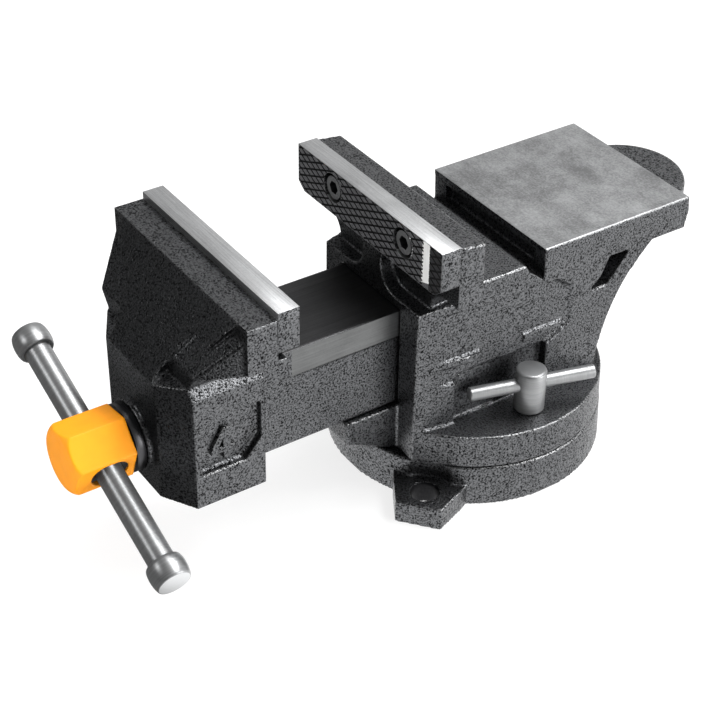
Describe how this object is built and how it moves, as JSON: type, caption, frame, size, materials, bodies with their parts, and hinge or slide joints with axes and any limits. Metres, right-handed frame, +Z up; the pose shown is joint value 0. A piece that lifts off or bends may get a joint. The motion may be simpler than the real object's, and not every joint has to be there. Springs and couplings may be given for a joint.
{
  "type": "bench vise",
  "caption": "Cast iron bench vise with a sliding jaw, steel jaw plates, anvil and horn, on a swivel base with side locks.",
  "frame": {"origin": "on the swivel axis in the bench plane, which is also the centre of the bolt circle", "axes": "+Z up along the swivel axis, +Y from the handle towards the anvil, +X to the side where the near lock sits"},
  "size_m": [0.1223, 0.3002, 0.1302],
  "materials": {
    "casting": "dark grey hammertone enamel",
    "jaw_plate": "hardened steel, ground top",
    "fastener": "black oxide",
    "screw": "turned, oiled",
    "nut": "machined",
    "handle": "satin turned steel",
    "cover": "satin orange"
  },
  "bodies": {
    "base": {"swivel_base": "casting"},
    "body": {"fixed_body": "casting", "fixed_jaw_plate": "jaw_plate", "fixed_jaw_screws": "fastener", "screw_nut": "nut", "nut_bolts": "fastener", "pivot_bolt": "fastener", "pivot_washer": "screw", "lock_nut_right": "nut", "lock_nut_left": "nut"},
    "slide": {"moving_jaw": "casting", "moving_jaw_plate": "jaw_plate", "moving_jaw_screws": "fastener", "thrust_washer": "screw", "thrust_spring": "screw"},
    "screw": {"lead_screw": "screw", "screw_head_cover": "cover", "retaining_washer": "screw", "split_pin": "screw"},
    "handle": {"handle_bar": "handle", "handle_cap_near": "handle", "handle_cap_far": "handle"},
    "lock_right": {"lock_screw_right": "handle", "lock_bar_right": "handle"},
    "lock_left": {"lock_screw_left": "handle", "lock_bar_left": "handle"}
  },
  "joints": [
    {"name": "body_swivel", "type": "hinge", "parent": "base", "child": "body", "pos_m": [0, 0, 0], "axis": [0, 0, 1], "continuous": true},
    {"name": "jaw_slide", "type": "slide", "parent": "body", "child": "slide", "axis": [0, 1, 0], "range_m": [-0.0375, 0.0622]},
    {"name": "screw_spin", "type": "hinge", "parent": "slide", "child": "screw", "pos_m": [0, -0.1767, 0.0586], "axis": [0, 1, 0], "range_deg": [-3380, 5600]},
    {"name": "handle_slide", "type": "slide", "parent": "screw", "child": "handle", "axis": [0.9348, 0, -0.3551], "range_m": [-0.0397, 0.0343]},
    {"name": "lock_right_turn", "type": "hinge", "parent": "body", "child": "lock_right", "pos_m": [0.0443, 0, 0.04], "axis": [0, 0, 1], "range_deg": [0, 20]},
    {"name": "lock_left_turn", "type": "hinge", "parent": "body", "child": "lock_left", "pos_m": [-0.0443, 0, 0.04], "axis": [0, 0, 1], "range_deg": [-20, 0]}
  ],
  "couplings": [
    {"joint": "screw_spin", "follows": "jaw_slide", "rad_per_m": 1570.8}
  ]
}
